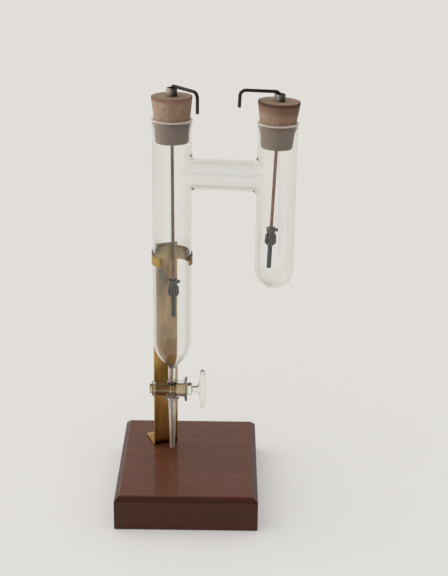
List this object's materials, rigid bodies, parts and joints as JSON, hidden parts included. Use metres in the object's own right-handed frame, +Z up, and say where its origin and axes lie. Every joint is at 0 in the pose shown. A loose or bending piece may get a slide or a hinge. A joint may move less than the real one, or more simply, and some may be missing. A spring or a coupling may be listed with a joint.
{
  "type": "transport number apparatus",
  "caption": "Glass H-shaped electrolysis cell with a stopcock, rubber stoppers and hooked electrode leads, held by a brass spring clip on an upright with a chamfered wooden base.",
  "frame": {"origin": "centre of the wooden base's underside", "axes": "+Z up; +X to the right as pictured, roughly along the bridge from the long limb to the short one; +Y away from the viewer, towards the upright"},
  "size_m": [0.124, 0.125, 0.2997],
  "materials": {
    "base_wood": "varnished mahogany",
    "strip_brass": "lacquered brass, darkened with age",
    "clip_brass": "spring brass, rubbed bright",
    "screw_brass": "turned brass",
    "cell_glass": "clear blown glass",
    "plug_glass": "clear glass with a ground taper",
    "stopper_rubber": "matt moulded rubber",
    "sleeve_nickel": "tarnished plated metal",
    "lead_copper": "oxidised copper wire",
    "chuck_metal": "blackened metal",
    "electrode_metal": "dull dark metal"
  },
  "bodies": {
    "stand": {"wooden_base": "base_wood", "brass_upright": "strip_brass", "foot_screws": "screw_brass", "tube_clip": "clip_brass", "clip_rivets": "screw_brass"},
    "cell": {"long_limb": "cell_glass", "bridge_tube": "cell_glass", "short_limb": "cell_glass", "stopcock_barrel": "cell_glass", "outlet_jet": "cell_glass"},
    "plug": {"stopcock_plug": "plug_glass"},
    "left_closure": {"left_stopper": "stopper_rubber"},
    "left_swivel": {"left_sleeve": "sleeve_nickel"},
    "left_lead": {"left_lead_wire": "lead_copper", "left_chuck_body": "chuck_metal", "left_electrode_pin": "electrode_metal"},
    "left_nut": {"left_chuck_nut": "chuck_metal"},
    "left_clamp": {"left_clamp_screw": "chuck_metal"},
    "right_closure": {"right_stopper": "stopper_rubber"},
    "right_swivel": {"right_sleeve": "sleeve_nickel"},
    "right_lead": {"right_lead_wire": "lead_copper", "right_chuck_body": "chuck_metal", "right_electrode_pin": "electrode_metal"},
    "right_nut": {"right_chuck_nut": "chuck_metal"},
    "right_clamp": {"right_clamp_screw": "chuck_metal"}
  },
  "joints": [
    {"name": "cell_swivel", "type": "hinge", "parent": "stand", "child": "cell", "pos_m": [-0.0121, 0.0056, 0.1774], "axis": [0, 0, 1], "range_deg": [-15, 45]},
    {"name": "stopcock_turn", "type": "hinge", "parent": "cell", "child": "plug", "pos_m": [-0.0121, 0.0056, 0.0768], "axis": [1, 0, 0], "continuous": true},
    {"name": "left_stopper_lift", "type": "slide", "parent": "cell", "child": "left_closure", "axis": [-0.007, 0.0006, 1], "range_m": [0, 0.147]},
    {"name": "left_hook_turn", "type": "hinge", "parent": "left_closure", "child": "left_swivel", "pos_m": [-0.0121, 0.0056, 0.2762], "axis": [-0.007, 0.0006, 1], "continuous": true},
    {"name": "left_lead_slide", "type": "slide", "parent": "left_swivel", "child": "left_lead", "axis": [-0.007, 0.0006, 1], "range_m": [0, 0.09]},
    {"name": "left_nut_turn", "type": "hinge", "parent": "left_lead", "child": "left_nut", "pos_m": [-0.01125, 0.00552, 0.1533], "axis": [-0.007, 0.0006, 1], "range_deg": [0, 360]},
    {"name": "left_clamp_turn", "type": "hinge", "parent": "left_lead", "child": "left_clamp", "pos_m": [-0.00731, 0.00516, 0.15983], "axis": [0.9959, -0.0906, 0.007], "range_deg": [0, 360]},
    {"name": "right_stopper_lift", "type": "slide", "parent": "cell", "child": "right_closure", "axis": [0.0365, -0.0033, 0.9993], "range_m": [0, 0.107]},
    {"name": "right_hook_turn", "type": "hinge", "parent": "right_closure", "child": "right_swivel", "pos_m": [0.05911, -0.00088, 0.2762], "axis": [0.0365, -0.0033, 0.9993], "continuous": true},
    {"name": "right_lead_slide", "type": "slide", "parent": "right_swivel", "child": "right_lead", "axis": [0.0365, -0.0033, 0.9993], "range_m": [0, 0.05]},
    {"name": "right_nut_turn", "type": "hinge", "parent": "right_lead", "child": "right_nut", "pos_m": [0.05612, -0.00061, 0.19445], "axis": [0.0365, -0.0033, 0.9993], "range_deg": [0, 360]},
    {"name": "right_clamp_turn", "type": "hinge", "parent": "right_lead", "child": "right_clamp", "pos_m": [0.06034, -0.00099, 0.2008], "axis": [0.9952, -0.0906, -0.0366], "range_deg": [0, 360]}
  ]
}
